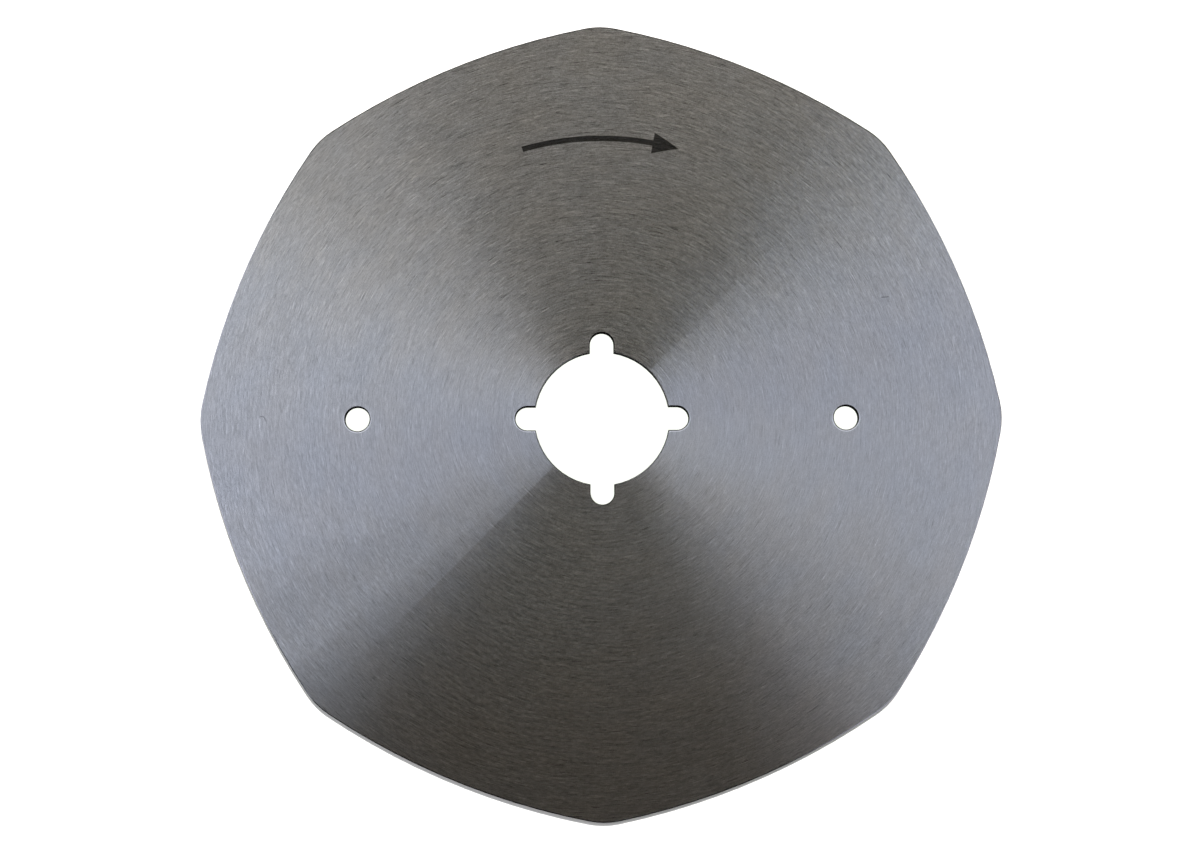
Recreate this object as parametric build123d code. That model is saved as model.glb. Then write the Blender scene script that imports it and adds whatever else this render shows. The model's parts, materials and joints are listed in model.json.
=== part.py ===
from build123d import *
import os
from math import cos, radians, sin, sqrt

# A rotary knife for cutting cloth, made in one piece from flat tool steel sheet.
# Lengths are in millimetres. The plain face looks up, the ground bevel looks down,
# and the origin is on the arbor axis at the lower face.

# Outline: bowed sides that meet in rounded corners
corner_count = 8
across_corners = 125.0
side_radius = 112.0
corner_radius = 12.0

# Sheet
sheet_thickness = 1.5

# Cutting edge: a wide bevel ground from below and a fine one stoned from above
bevel_width = 4.0
back_bevel_width = 0.15
back_bevel_depth = 0.04
edge_land = 0.08

# Arbor bore, with drive notches cut into its wall
bore_diameter = 21.0
notch_count = 4
notch_depth = 3.0
notch_width = 3.7

# Two pin holes in line with a pair of notches
pin_hole_count = 2
pin_hole_diameter = 3.8
pin_hole_spacing = 76.2

# Deburred rims of the bore, the notches and the pin holes
rim_break = 0.15

# Height of the lower bevel: what the land and the fine bevel leave of the sheet
bevel_depth = sheet_thickness - edge_land - back_bevel_depth


def knife_outline():
    """Bowed sides, cut as overlapping discs, with the corners rounded to across_corners."""
    half_side = radians(180 / corner_count)
    corner_centre = across_corners / 2 - corner_radius
    # A side's disc touches the rounding at both of its ends, so its centre lies
    # behind the arbor axis by what is left of the distance between the two centres
    centre_distance = side_radius - corner_radius
    across = corner_centre * sin(half_side)
    side_setback = sqrt(centre_distance**2 - across**2) - corner_centre * cos(half_side)

    outline = Circle(side_radius + side_setback)
    for side in range(corner_count):
        side_direction = Rot(0, 0, (side + 0.5) * 360 / corner_count)
        outline &= side_direction * Pos(-side_setback, 0, 0) * Circle(side_radius)
    return fillet(outline.vertices(), corner_radius)


def arbor_opening():
    """The bore and its round-ended drive notches, as one opening."""
    notch_span = bore_diameter + 2 * notch_depth
    opening = Circle(bore_diameter / 2)
    for slot in range(notch_count // 2):
        opening += SlotOverall(notch_span, notch_width, rotation=slot * 360 / notch_count)
    return opening


def pin_holes():
    """The round holes on the X axis, on either side of the bore."""
    places = GridLocations(pin_hole_spacing, 0, pin_hole_count, 1)
    return places * Circle(pin_hole_diameter / 2)


def knife_blade():
    """The whole knife: sheet, openings, deburred rims and ground edge."""
    blade = extrude(knife_outline(), sheet_thickness)
    blade -= extrude(arbor_opening(), sheet_thickness)
    blade -= extrude(Sketch() + pin_holes(), sheet_thickness)

    lower_face = blade.faces().sort_by(Axis.Z)[0]
    upper_face = blade.faces().sort_by(Axis.Z)[-1]
    hole_rims = [
        edge
        for face in (lower_face, upper_face)
        for wire in face.inner_wires()
        for edge in wire.edges()
    ]
    blade = chamfer(hole_rims, rim_break)

    lower_face = blade.faces().sort_by(Axis.Z)[0]
    lower_rim = lower_face.outer_wire().edges()
    blade = chamfer(lower_rim, bevel_width, bevel_depth, reference=lower_face)

    upper_face = blade.faces().sort_by(Axis.Z)[-1]
    upper_rim = upper_face.outer_wire().edges()
    return chamfer(upper_rim, back_bevel_width, back_bevel_depth, reference=upper_face)


os.makedirs("parts", exist_ok=True)
export_step(knife_blade(), "parts/knife_blade.step")
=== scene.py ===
import json
from math import atan2, copysign, cos, pi, radians, sin

import bmesh
import bpy
from mathutils import Matrix, Vector


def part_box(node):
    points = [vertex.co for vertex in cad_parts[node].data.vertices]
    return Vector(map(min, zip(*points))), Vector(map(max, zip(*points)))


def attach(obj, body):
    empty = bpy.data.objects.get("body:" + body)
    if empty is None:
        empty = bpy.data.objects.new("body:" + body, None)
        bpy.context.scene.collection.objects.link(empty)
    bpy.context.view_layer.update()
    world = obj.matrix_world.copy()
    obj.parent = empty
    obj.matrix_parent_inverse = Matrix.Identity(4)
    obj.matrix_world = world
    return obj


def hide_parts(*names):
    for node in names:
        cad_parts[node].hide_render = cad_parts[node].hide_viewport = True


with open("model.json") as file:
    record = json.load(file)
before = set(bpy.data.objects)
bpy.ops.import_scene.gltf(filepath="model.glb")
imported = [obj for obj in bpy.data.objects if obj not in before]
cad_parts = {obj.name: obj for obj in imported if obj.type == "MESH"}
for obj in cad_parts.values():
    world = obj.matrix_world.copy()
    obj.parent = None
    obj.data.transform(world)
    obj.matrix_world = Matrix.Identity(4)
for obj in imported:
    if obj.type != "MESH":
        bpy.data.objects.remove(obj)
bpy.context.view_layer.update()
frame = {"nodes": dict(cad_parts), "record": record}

MM = 0.001

# Knife blade: one sheet of hardened tool steel, stamped out, ground on both faces in fine circles
# about the bore and sharpened all round. Its form is the frame's own, cut along rays from the bore
# so that the grain of the steel can turn with the grinding.
node_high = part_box("knife_blade")[1]
face_height = node_high.z
rim_radius = node_high.x
mounts = {mount["name"]: mount for mount in frame["record"]["mounts"]}
pin_holes = mounts["pin_holes"]["dims"]
pin_hole_reach = pin_holes["spacing_x_mm"] / 2 * MM
pin_hole_radius = pin_holes["hole_r_mm"] * MM
notch_width = 3.7 * MM
notch_span = 27 * MM
notch_radius = notch_width / 2
notch_reach = notch_span / 2 - notch_radius
ray_cuts = 60
weld_distance = 0.0001 * MM
flat_angle = radians(0.05)
sharp_angle = radians(12)

shape = bmesh.new()
shape.from_mesh(frame["nodes"]["knife_blade"].data)
bmesh.ops.remove_doubles(shape, verts=shape.verts[:], dist=weld_distance)
bmesh.ops.dissolve_limit(
    shape, angle_limit=flat_angle, verts=shape.verts[:], edges=shape.edges[:]
)
for cut in range(ray_cuts):
    across_ray = Matrix.Rotation(pi * cut / ray_cuts, 3, "Z") @ Vector((0, 1, 0))
    bmesh.ops.bisect_plane(
        shape,
        geom=shape.verts[:] + shape.edges[:] + shape.faces[:],
        dist=weld_distance,
        plane_co=(0, 0, 0),
        plane_no=across_ray,
    )
bmesh.ops.triangulate(shape, faces=shape.faces[:])
for edge in shape.edges:
    edge.smooth = edge.calc_face_angle(pi) < sharp_angle
for face in shape.faces:
    face.smooth = True

# The map follows the grain: along U it runs outwards, along V round the blade. Each face of the
# blade is unrolled in eight sectors, and the walls of the rim, the bore and the pin holes in
# strips whose U runs up the wall.
sector_count = 8
upper_rows = 4
upper_cell = (0.35, 1 / upper_rows)
lower_cell = (0.24, 1 / sector_count)
wall_cell = (0.02, 1.0)
face_margin = 0.006
wall_margin = 0.002
face_slope = 0.5
bore_radius = min(vert.co.xy.length for vert in shape.verts)
bore_limit = 20 * MM
rim_limit = 50 * MM


def turns(place, middle):
    """Turns of a place about the axis, from 0 to 1, unbroken over the face it belongs to."""
    start = atan2(middle.y, middle.x) % (2 * pi)
    return (start + (atan2(place.y, place.x) - start + pi) % (2 * pi) - pi) / (2 * pi)


def face_map(face, middle):
    """Corner of the face's cell in the map, its size, its margin, and each corner's share of it."""
    sector = int(turns(middle, middle) * sector_count)
    if face.normal.z > 0:
        cell = upper_cell
        corner = (sector // upper_rows * cell[0], sector % upper_rows * cell[1])
    else:
        cell = lower_cell
        corner = (2 * upper_cell[0], sector * cell[1])
    shares = []
    for vert in face.verts:
        outwards = (vert.co.xy.length - bore_radius) / (rim_radius - bore_radius)
        shares.append((outwards, turns(vert.co, middle) * sector_count - sector))
    return corner, cell, face_margin, shares


def wall_map(face, middle):
    """The same for a wall: U runs up it and V round the rim, the bore or a pin hole."""
    centre = Vector((0, 0, 0))
    strip = 0 if middle.xy.length > rim_limit else 1
    cell = wall_cell
    first = 0
    if bore_limit < middle.xy.length < rim_limit:
        centre.x = copysign(pin_hole_reach, middle.x)
        strip = 2
        cell = (wall_cell[0], wall_cell[1] / 2)
        first = cell[1] if middle.x > 0 else 0
    corner = (2 * upper_cell[0] + lower_cell[0] + strip * cell[0], first)
    shares = [
        (vert.co.z / face_height, turns(vert.co - centre, middle - centre)) for vert in face.verts
    ]
    return corner, cell, wall_margin, shares


bake_map = shape.loops.layers.uv.new("OFBake")
for face in shape.faces:
    middle = face.calc_center_median()
    chart = face_map if abs(face.normal.z) > face_slope else wall_map
    corner, cell, margin, shares = chart(face, middle)
    for loop, share in zip(face.loops, shares):
        loop[bake_map].uv = [
            corner[axis] + margin + share[axis] * (cell[axis] - 2 * margin) for axis in (0, 1)
        ]

blade_mesh = bpy.data.meshes.new("ground_blade")
shape.to_mesh(blade_mesh)
shape.free()
blade = bpy.data.objects.new("ground_blade", blade_mesh)
bpy.context.scene.collection.objects.link(blade)

softness = 0.08 * MM
drift_reach = 5 * MM
layer_shift = 10.0


def give(tree, socket, value):
    """Link another socket to this one, or set its own number or colour."""
    if isinstance(value, bpy.types.NodeSocket):
        tree.links.new(value, socket)
    else:
        socket.default_value = value


def calculate(tree, operation, *values, clamp=False):
    """One step of arithmetic on sockets or numbers."""
    step = tree.nodes.new("ShaderNodeMath")
    step.operation = operation
    step.use_clamp = clamp
    for socket, value in zip(step.inputs, values):
        give(tree, socket, value)
    return step.outputs["Value"]


def distance(tree, along, across):
    """Distance from an axis, from the two parts of it."""
    square = calculate(tree, "MULTIPLY", across, across)
    return calculate(tree, "SQRT", calculate(tree, "MULTIPLY_ADD", along, along, square))


def soft_change(tree, value, start, end, low=0.0, high=1.0):
    """A soft change from low to high while the value goes from start to end."""
    change = tree.nodes.new("ShaderNodeMapRange")
    change.interpolation_type = "SMOOTHSTEP"
    give(tree, change.inputs["Value"], value)
    give(tree, change.inputs["From Min"], start)
    give(tree, change.inputs["From Max"], end)
    give(tree, change.inputs["To Min"], low)
    give(tree, change.inputs["To Max"], high)
    return change.outputs["Result"]


def mix_colours(tree, share, first, second, way="MIX"):
    """The first colour with a share of the second."""
    mix = tree.nodes.new("ShaderNodeMix")
    mix.data_type = "RGBA"
    mix.blend_type = way
    give(tree, mix.inputs["Factor"], share)
    give(tree, mix.inputs["A"], first)
    give(tree, mix.inputs["B"], second)
    return mix.outputs["Result"]


def uneven(tree, place, strength, detail):
    """Noise about zero."""
    noise = tree.nodes.new("ShaderNodeTexNoise")
    noise.inputs["Scale"].default_value = 1.0
    noise.inputs["Detail"].default_value = detail
    tree.links.new(place, noise.inputs["Vector"])
    return calculate(tree, "MULTIPLY_ADD", noise.outputs[0], strength, -0.5 * strength)


def grain_place(tree, x, y, radius, width, length, shift, drift=0.0):
    """Coordinates in which a mark that runs round the bore is one unit wide and long. Drift, in
    metres, lets it stray from its circle."""
    place = tree.nodes.new("ShaderNodeCombineXYZ")
    tree.links.new(calculate(tree, "MULTIPLY", x, 1 / length), place.inputs["X"])
    tree.links.new(calculate(tree, "MULTIPLY", y, 1 / length), place.inputs["Y"])
    if drift:
        stray = grain_place(tree, x, y, radius, drift_reach, drift_reach, shift)
        radius = calculate(tree, "ADD", radius, uneven(tree, stray, drift, 0.0))
    outward = calculate(tree, "MULTIPLY_ADD", radius, 1 / width, shift)
    tree.links.new(outward, place.inputs["Z"])
    return place.outputs["Vector"]


def grinding_marks(tree, x, y, radius, start, layers, shift):
    """Layers of marks added to a start value: width, length, strength, detail and drift of each,
    and a gate that lets only the strongest marks of a layer show."""
    total = start
    for layer, (width, length, strength, detail, drift, gate) in enumerate(layers):
        place = grain_place(tree, x, y, radius, width, length, shift + layer_shift * layer, drift)
        marks = uneven(tree, place, strength, detail)
        if gate:
            faint = calculate(tree, "MINIMUM", marks, gate * strength)
            faint = calculate(tree, "MAXIMUM", faint, -gate * strength)
            marks = calculate(tree, "SUBTRACT", marks, faint)
        total = calculate(tree, "ADD", total, marks)
    return total


def inside(tree, depth):
    """Soft mask from a depth inside an outline, in metres."""
    return calculate(tree, "MULTIPLY_ADD", depth, 1 / softness, 0.5, clamp=True)


def shaded(tree, brightness, mask, shade):
    """The brightness, times the shade where the mask is full."""
    factor = calculate(tree, "MULTIPLY_ADD", mask, shade - 1, 1.0)
    return calculate(tree, "MULTIPLY", brightness, factor)


def scratch(tree, x, y, centre, half_length, half_width, turn):
    """Mask of one short straight scratch."""
    across = calculate(tree, "SUBTRACT", x, centre[0])
    beside = calculate(tree, "SUBTRACT", y, centre[1])
    along = calculate(
        tree,
        "ADD",
        calculate(tree, "MULTIPLY", across, cos(turn)),
        calculate(tree, "MULTIPLY", beside, sin(turn)),
    )
    off = calculate(
        tree,
        "SUBTRACT",
        calculate(tree, "MULTIPLY", beside, cos(turn)),
        calculate(tree, "MULTIPLY", across, sin(turn)),
    )
    depth = calculate(
        tree,
        "MINIMUM",
        calculate(tree, "SUBTRACT", half_length, calculate(tree, "ABSOLUTE", along)),
        calculate(tree, "SUBTRACT", half_width, calculate(tree, "ABSOLUTE", off)),
    )
    return inside(tree, depth)


def steel_material(name):
    """A bare material, and the sockets that its patterns start from."""
    material = bpy.data.materials.new(name)
    material.use_nodes = True
    tree = material.node_tree
    coordinates = tree.nodes.new("ShaderNodeTexCoord")
    parts = tree.nodes.new("ShaderNodeSeparateXYZ")
    tree.links.new(coordinates.outputs["Object"], parts.inputs["Vector"])
    return material, tree, tree.nodes["Principled BSDF"], parts.outputs


def make_dull(surface):
    """Take all shine off a surface."""
    surface.inputs["Specular IOR Level"].default_value = 0.0
    surface.inputs["Roughness"].default_value = 1.0


def add_finish(material):
    """Put a finish on the blade, and return its number."""
    blade_mesh.materials.append(material)
    return len(blade_mesh.materials) - 1


# Ground faces: marks of the wheel in the colour and in the relief, with soft changes of tint, and a
# painted sheen in how strongly the marks show
colour_layers = (
    (0.09 * MM, 1.7 * MM, 0.8, 0.0, 0.2 * MM, 0.0),
    (0.08 * MM, 0.55 * MM, 0.75, 0.0, 0.15 * MM, 0.0),
    (0.08 * MM, 2.6 * MM, 4.0, 0.0, 0.25 * MM, 0.17),
    (0.12 * MM, 0.14 * MM, 0.9, 0.0, 0.0, 0.0),
    (1.4 * MM, 12 * MM, 0.15, 1.0, 0.0, 0.0),
)
relief_layers = (
    (0.12 * MM, 0.9 * MM, 0.07, 0.0, 0.1 * MM, 0.0),
    (0.12 * MM, 3.0 * MM, 0.06, 0.0, 0.15 * MM, 0.0),
)
relief_shift = 100.0
painted_side_contrast = 0.36
mark_strength = 0.92
painted_far_contrast = 0.17
steel, tree, surface, place = steel_material("ground_tool_steel")
x, y = place["X"], place["Y"]
radius = distance(tree, x, y)
# Painted sheen: the marks' contrast in the colour is strongest towards the top, less towards the
# bottom and least at the sides, where the light shows them less
far_share = calculate(tree, "DIVIDE", y, radius)
upright = calculate(tree, "POWER", far_share, 2.0)
strength = calculate(tree, "MULTIPLY_ADD", upright, 1 - painted_side_contrast, painted_side_contrast)
gain = calculate(tree, "MULTIPLY_ADD", far_share, painted_far_contrast, mark_strength)
strength = calculate(tree, "MULTIPLY", strength, gain)
marks = grinding_marks(tree, x, y, radius, 0.0, colour_layers, 0.0)
brightness = calculate(tree, "MULTIPLY_ADD", marks, strength, 1.0)

cool_steel = (0.545, 0.56, 0.588, 1)
warm_steel = (0.556, 0.56, 0.572, 1)
tint_width = 7 * MM
tint_length = 9 * MM
tint_shift = 50.0
tint_contrast = 3.0
tint_detail = 2.0
tint_place = grain_place(tree, x, y, radius, tint_width, tint_length, tint_shift)
tint_noise = uneven(tree, tint_place, tint_contrast, tint_detail)
tint_share = calculate(tree, "ADD", tint_noise, 0.5, clamp=True)
tint = mix_colours(tree, tint_share, cool_steel, warm_steel)

# A painted shade: a faint warm darkening towards the lower rim, where the steel reflects the dark
# side of the room
lower_shade_start = -15 * MM
lower_shade_full = -55 * MM
lower_shade_sides = 0.44
lower_shade_middle = 0.7
lower_shade_colour = (0.83, 0.775, 0.725, 1)
lower_shade_share = calculate(
    tree,
    "MULTIPLY",
    soft_change(tree, y, lower_shade_start, lower_shade_full),
    soft_change(tree, upright, lower_shade_sides, lower_shade_middle),
)
shaded_tint = mix_colours(tree, lower_shade_share, tint, lower_shade_colour, "MULTIPLY")

# Scratches from handling, each with its place, half length, turn and shade
scratch_half_width = 0.08 * MM
scratches = (
    ((44.53 * MM, 19.02 * MM), 0.6 * MM, radians(4), 0.5),
    ((-53.25 * MM, -0.6 * MM), 0.7 * MM, radians(90), 1.3),
    ((-52.9 * MM, 0.45 * MM), 0.3 * MM, radians(-10), 0.6),
    ((-52.45 * MM, 0.05 * MM), 0.4 * MM, radians(-60), 0.6),
)
for centre, half_length, turn, scratch_shade in scratches:
    mask = scratch(tree, x, y, centre, half_length, scratch_half_width, turn)
    brightness = shaded(tree, brightness, mask, scratch_shade)

# A painted highlight: a bright line where a lip of steel catches the light, on the lower side of
# the pin holes and of the side notches. It lies at one distance from the pin holes, and from the
# bore with its notches.
line_offset = 0.22 * MM
line_half_width = 0.09 * MM
line_reach = 2.3 * MM
line_fade = 3.5 * MM
lip_highlight_gain = 2.0
level_x = calculate(tree, "ABSOLUTE", x)
level_y = calculate(tree, "ABSOLUTE", y)
far = calculate(tree, "MAXIMUM", level_x, level_y)
near = calculate(tree, "MINIMUM", level_x, level_y)
past_pin = calculate(tree, "SUBTRACT", level_x, pin_hole_reach)
from_pins = calculate(tree, "SUBTRACT", distance(tree, past_pin, y), pin_hole_radius)
past_notch = calculate(tree, "MAXIMUM", calculate(tree, "SUBTRACT", far, notch_reach), 0.0)
from_notches = calculate(tree, "SUBTRACT", distance(tree, past_notch, near), notch_radius)
from_bore = calculate(tree, "SUBTRACT", radius, bore_radius)
from_holes = calculate(
    tree, "MINIMUM", from_pins, calculate(tree, "MINIMUM", from_notches, from_bore)
)
off = calculate(tree, "ABSOLUTE", calculate(tree, "SUBTRACT", from_holes, line_offset))
lip_highlight = inside(tree, calculate(tree, "SUBTRACT", line_half_width, off))
lower = calculate(tree, "MULTIPLY_ADD", y, -1 / line_fade, 0.5, clamp=True)
lip_highlight = calculate(tree, "MULTIPLY", lip_highlight, lower)
within_reach = inside(tree, calculate(tree, "SUBTRACT", line_reach, level_y))
lip_highlight = calculate(tree, "MULTIPLY", lip_highlight, within_reach)
brightness = shaded(tree, brightness, lip_highlight, lip_highlight_gain)

# An arrow etched along a circle about the bore, for the way that the knife turns
arrow_radius = 44.5 * MM
arrow_length = 25 * MM
arrow_half_width = 0.45 * MM
head_length = 4.2 * MM
head_half_width = 1.7 * MM
etched_shade = 0.15
angle = calculate(tree, "ARCTAN2", x, y)
along = calculate(tree, "MULTIPLY", angle, arrow_radius)
off = calculate(tree, "ABSOLUTE", calculate(tree, "SUBTRACT", radius, arrow_radius))
to_tip = calculate(tree, "SUBTRACT", arrow_length / 2, along)
to_tail = calculate(tree, "ADD", arrow_length / 2, along)
shaft = calculate(
    tree,
    "MINIMUM",
    calculate(tree, "SUBTRACT", arrow_half_width, off),
    calculate(tree, "MINIMUM", to_tail, calculate(tree, "SUBTRACT", to_tip, head_length / 2)),
)
head_edge = calculate(tree, "MULTIPLY", to_tip, head_half_width / head_length)
head = calculate(
    tree,
    "MINIMUM",
    calculate(tree, "SUBTRACT", head_edge, off),
    calculate(tree, "SUBTRACT", head_length, to_tip),
)
etched = inside(tree, calculate(tree, "MAXIMUM", shaft, head))
brightness = shaded(tree, brightness, etched, etched_shade)

steel_colour = tree.nodes.new("ShaderNodeVectorMath")
steel_colour.operation = "SCALE"
tree.links.new(shaded_tint, steel_colour.inputs[0])
tree.links.new(brightness, steel_colour.inputs["Scale"])
tree.links.new(steel_colour.outputs["Vector"], surface.inputs["Base Color"])

# Sides of the marks lean along U, which runs outwards. Half stands for no lean.
no_lean = 0.5
lean = tree.nodes.new("ShaderNodeCombineXYZ")
slope = grinding_marks(tree, x, y, radius, no_lean, relief_layers, relief_shift)
tree.links.new(slope, lean.inputs["X"])
lean.inputs["Y"].default_value = no_lean
lean.inputs["Z"].default_value = 1.0
relief = tree.nodes.new("ShaderNodeNormalMap")
relief.uv_map = "OFBake"
tree.links.new(lean.outputs["Vector"], relief.inputs["Color"])
tree.links.new(relief.outputs["Normal"], surface.inputs["Normal"])

surface.inputs["Metallic"].default_value = 1.0
surface.inputs["Roughness"].default_value = 0.276
surface.inputs["Anisotropic"].default_value = 0.936
tangent = tree.nodes.new("ShaderNodeTangent")
tangent.direction_type = "UV_MAP"
tangent.uv_map = "OFBake"
tree.links.new(tangent.outputs["Tangent"], surface.inputs["Tangent"])
add_finish(steel)

# Walls of the stamped holes: painted shade, near black and dull, torn in fine lines from one face
# to the other
tear_width = 0.1 * MM
tear_contrast = 2.0
tear_detail = 2.0
wall_shade_dark = (0.006, 0.006, 0.006, 1)
wall_shade_pale = (0.035, 0.032, 0.028, 1)
wall_painted_shade, tree, surface, place = steel_material("stamped_wall_painted_shade")
lines = tree.nodes.new("ShaderNodeCombineXYZ")
for axis, size in (("X", tear_width), ("Y", tear_width), ("Z", face_height)):
    tree.links.new(calculate(tree, "MULTIPLY", place[axis], 1 / size), lines.inputs[axis])
tear_noise = uneven(tree, lines.outputs["Vector"], tear_contrast, tear_detail)
tear_share = calculate(tree, "ADD", tear_noise, 0.5, clamp=True)
wall_shade_tone = mix_colours(tree, tear_share, wall_shade_dark, wall_shade_pale)
tree.links.new(wall_shade_tone, surface.inputs["Base Color"])
make_dull(surface)
wall_finish = add_finish(wall_painted_shade)

# Edges of the pin holes and the notches: painted shade, dark and dull like the walls
hole_edge_painted_shade, tree, surface, place = steel_material("stamped_hole_edge")
surface.inputs["Base Color"].default_value = (0.025, 0.023, 0.02, 1)
make_dull(surface)
edge_finish = add_finish(hole_edge_painted_shade)

# Edges of the rim and the bore, broken with a stone, in painted light: a painted highlight at the
# sides and painted shade towards the two ends of a line across the blade
shade_line = (0.25, 0.97)
dark_from = 0.72
dark_to = 0.84
rim_painted_highlight = (0.19, 0.19, 0.195, 1)
rim_painted_shade = (0.05, 0.05, 0.05, 1)
stoned, tree, surface, place = steel_material("stoned_rim_painted_light")
x, y = place["X"], place["Y"]
radius = distance(tree, x, y)
along = calculate(
    tree, "MULTIPLY_ADD", x, shade_line[0], calculate(tree, "MULTIPLY", y, shade_line[1])
)
share = calculate(tree, "ABSOLUTE", calculate(tree, "DIVIDE", along, radius))
darkness = soft_change(tree, share, dark_from, dark_to)
rim_painted_light = mix_colours(tree, darkness, rim_painted_highlight, rim_painted_shade)
tree.links.new(rim_painted_light, surface.inputs["Base Color"])
surface.inputs["Metallic"].default_value = 1.0
surface.inputs["Roughness"].default_value = 0.15
stoned_finish = add_finish(stoned)

level_slope = 0.999
bore_edge_limit = bore_radius + 0.2 * MM
for face in blade_mesh.polygons:
    if face.center.xy.length < rim_limit:
        if abs(face.normal.z) < face_slope:
            face.material_index = wall_finish
        elif abs(face.normal.z) < level_slope:
            at_bore = face.center.xy.length < bore_edge_limit
            face.material_index = stoned_finish if at_bore else edge_finish
    elif face_slope < face.normal.z < level_slope:
        face.material_index = stoned_finish

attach(blade, "root")
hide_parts("knife_blade")

# Floor: a plain pale table. A lamp of its own behind the knife makes it white and leaves a thin
# shadow along the lower rim. It also glows, for seen rays only: faintly all over, and fully under
# the bore and the holes, where no shadow shows.
floor_size = 8.0
paper_glow = 0.1
hole_glow = 1.1
paper_tone = (0.83, 0.81, 0.77, 1)
no_tone = (0, 0, 0, 1)
glow_colour = (0.97, 1, 0.93, 1)
table_lamp_energy = 4.2
table_lamp_angle = radians(1.5)
table_lamp_direction = Vector((0.082, 0.36, 1))


def seen_straight(tree):
    """Kinds of ray that the light can follow, and a mask of those that the camera sends."""
    kinds = tree.nodes.new("ShaderNodeLightPath").outputs
    return kinds, calculate(tree, "MAXIMUM", kinds["Is Camera Ray"], kinds["Is Transmission Ray"])


bpy.ops.mesh.primitive_plane_add(size=floor_size)
floor = bpy.context.object
floor.name = "floor"
paper = bpy.data.materials.new("white_table")
paper.use_nodes = True
tree = paper.node_tree
surface = tree.nodes["Principled BSDF"]
make_dull(surface)
coordinates = tree.nodes.new("ShaderNodeTexCoord")
reach = tree.nodes.new("ShaderNodeVectorMath")
reach.operation = "LENGTH"
tree.links.new(coordinates.outputs["Object"], reach.inputs[0])
under_knife = inside(tree, calculate(tree, "SUBTRACT", rim_limit, reach.outputs["Value"]))
paper_colour = mix_colours(tree, under_knife, paper_tone, no_tone)
tree.links.new(paper_colour, surface.inputs["Base Color"])
surface.inputs["Emission Color"].default_value = glow_colour
glow = calculate(tree, "MULTIPLY_ADD", under_knife, hole_glow - paper_glow, paper_glow)
kinds, straight = seen_straight(tree)
seen = calculate(tree, "MAXIMUM", straight, kinds["Is Glossy Ray"])
tree.links.new(calculate(tree, "MULTIPLY", glow, seen), surface.inputs["Emission Strength"])
floor.data.materials.append(paper)

lit_by_table_lamp = bpy.data.collections.new("lit_by_table_lamp")
lit_by_table_lamp.objects.link(floor)
table_lamp = bpy.data.objects.new("table_lamp", bpy.data.lights.new("table_lamp", "SUN"))
table_lamp.data.energy = table_lamp_energy
table_lamp.data.angle = table_lamp_angle
table_lamp.rotation_euler = table_lamp_direction.to_track_quat("Z", "Y").to_euler()
table_lamp.light_linking.receiver_collection = lit_by_table_lamp
bpy.context.scene.collection.objects.link(table_lamp)

# Light: soft panels under a dark ceiling, at both sides of the knife and behind it, and a narrow
# bright strip at the left. Each has its place as seen from the knife, its turn, its half size and
# its light in red, green and blue. Places and sizes are shares of the panels' height.
panel_height = 1.6
panels = {
    "left_panel": ((-0.84, 0.11), radians(21), (0.4, 0.375), (2.4, 2.5, 2.86)),
    "left_strip": ((-0.63, -0.37), radians(40), (0.33, 0.025), (6.1, 6.4, 7.3)),
    "right_panel": ((0.635, 0.0), radians(6), (0.26, 0.63), (1.73, 1.79, 2.02)),
    "middle_panel": ((-0.22, 0.23), radians(15), (0.135, 0.09), (0.91, 0.93, 0.93)),
    "back_panel": ((0.105, 0.49), radians(14.5), (0.59, 0.08), (1.86, 1.71, 1.49)),
    "corner_panel": ((0.35, 0.38), 0.0, (0.1, 0.12), (1.06, 0.96, 0.56)),
}
for name, (place, turn, half, light) in panels.items():
    lamp = bpy.data.lights.new(name, "AREA")
    lamp.shape = "RECTANGLE"
    lamp.size = 2 * half[0] * panel_height
    lamp.size_y = 2 * half[1] * panel_height
    lamp.color = [part / max(light) for part in light]
    lamp.energy = max(light) * pi * lamp.size * lamp.size_y
    panel = bpy.data.objects.new(name, lamp)
    panel.location = (place[0] * panel_height, place[1] * panel_height, panel_height)
    panel.rotation_euler.z = turn
    bpy.context.scene.collection.objects.link(panel)

# Room: white to the camera. The steel sees a dark ceiling and pale walls along the horizon. On the
# camera's side the walls are dark, down to a pale skirting.
dark_level = 0.0
wall_level = 0.8
wall_top = 0.5
wall_fade = 0.3
camera_side_level = 0.06
camera_side_full = -0.8
camera_side_end = 0.0
skirting_level = 1.0
skirting_low = 0.18
skirting_high = 0.38


def mix_shaders(tree, share, first, second):
    """The first shader with a share of the second."""
    mix = tree.nodes.new("ShaderNodeMixShader")
    for socket, given in zip(mix.inputs, (share, first, second)):
        tree.links.new(given, socket)
    return mix.outputs[0]


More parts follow.
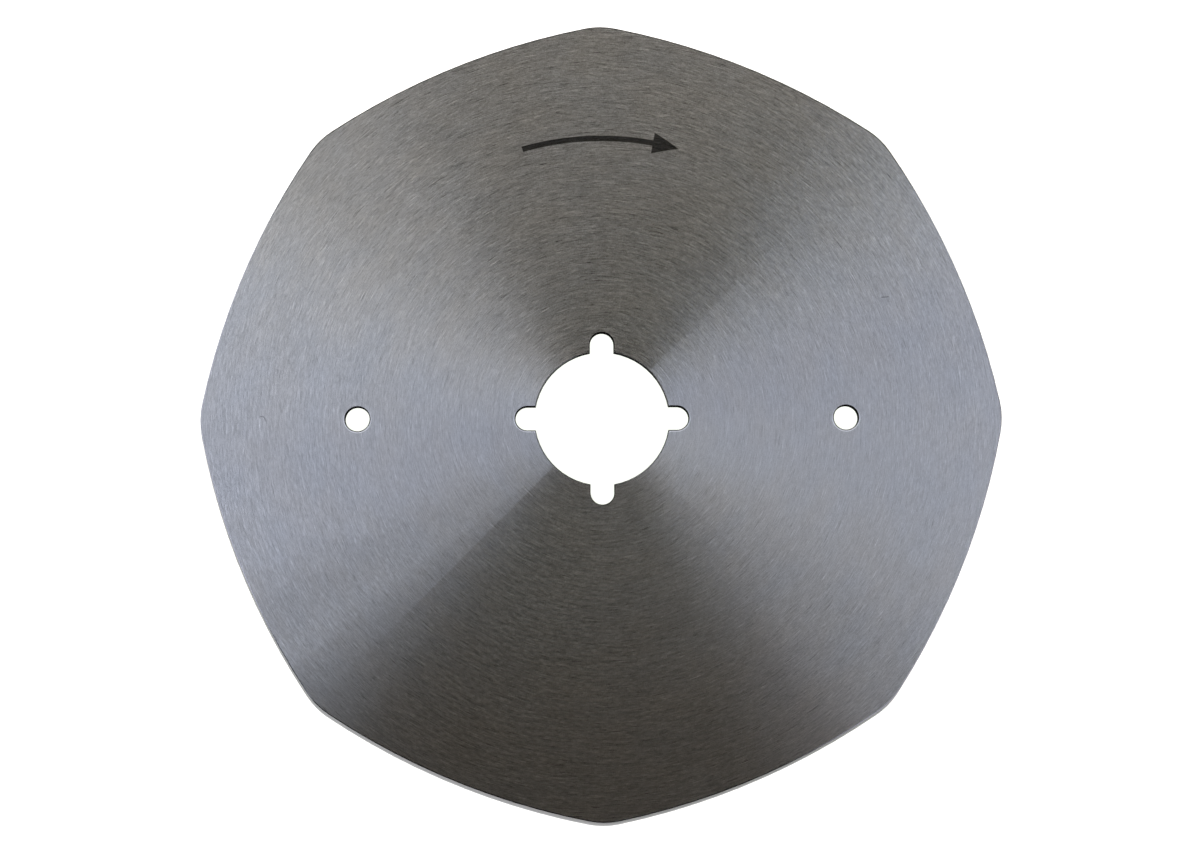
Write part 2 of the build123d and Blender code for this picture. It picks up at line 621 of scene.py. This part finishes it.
room = bpy.data.worlds.new("studio")
bpy.context.scene.world = room
room.use_nodes = True
tree = room.node_tree
tree.nodes.clear()
direction = tree.nodes.new("ShaderNodeTexCoord")
parts = tree.nodes.new("ShaderNodeSeparateXYZ")
tree.links.new(direction.outputs["Generated"], parts.inputs["Vector"])
y, z = parts.outputs["Y"], parts.outputs["Z"]
height = soft_change(tree, z, wall_top, wall_top - wall_fade, dark_level, wall_level)
skirting = soft_change(tree, z, skirting_low, skirting_high, skirting_level, camera_side_level)
side = soft_change(tree, y, camera_side_full, camera_side_end, skirting)
walls = tree.nodes.new("ShaderNodeBackground")
tree.links.new(calculate(tree, "MULTIPLY", height, side), walls.inputs["Strength"])
dim = tree.nodes.new("ShaderNodeBackground")
dim.inputs["Strength"].default_value = dark_level
white = tree.nodes.new("ShaderNodeBackground")
white.inputs["Color"].default_value = (1, 1, 1, 1)
kinds, straight = seen_straight(tree)
for_steel = mix_shaders(tree, kinds["Is Glossy Ray"], dim.outputs[0], walls.outputs[0])
for_camera = mix_shaders(tree, straight, for_steel, white.outputs[0])
output = tree.nodes.new("ShaderNodeOutputWorld")
tree.links.new(for_camera, output.inputs["Surface"])

# Camera: a short telephoto, almost straight above
camera_target = Vector((-0.33, -1.61, 1.5)) * MM
camera_distance = 441.5 * MM
camera_tilt = radians(6.95)
camera_azimuth = radians(-98)
camera_roll = radians(-0.32)
back = Vector(
    (
        sin(camera_tilt) * cos(camera_azimuth),
        sin(camera_tilt) * sin(camera_azimuth),
        cos(camera_tilt),
    )
)
right = (-back).cross(Vector((0, 1, 0))).normalized()
up = back.cross(right)
turned_right = cos(camera_roll) * right + sin(camera_roll) * up
turned_up = cos(camera_roll) * up - sin(camera_roll) * right
lens = bpy.data.cameras.new("camera")
lens.lens = 85
lens.sensor_width = 36
camera = bpy.data.objects.new("camera", lens)
camera.matrix_world = Matrix.Translation(camera_target + back * camera_distance) @ Matrix(
    (turned_right, turned_up, back)
).transposed().to_4x4()
bpy.context.scene.collection.objects.link(camera)
bpy.context.scene.camera = camera
bpy.context.scene.view_settings.view_transform = "Standard"
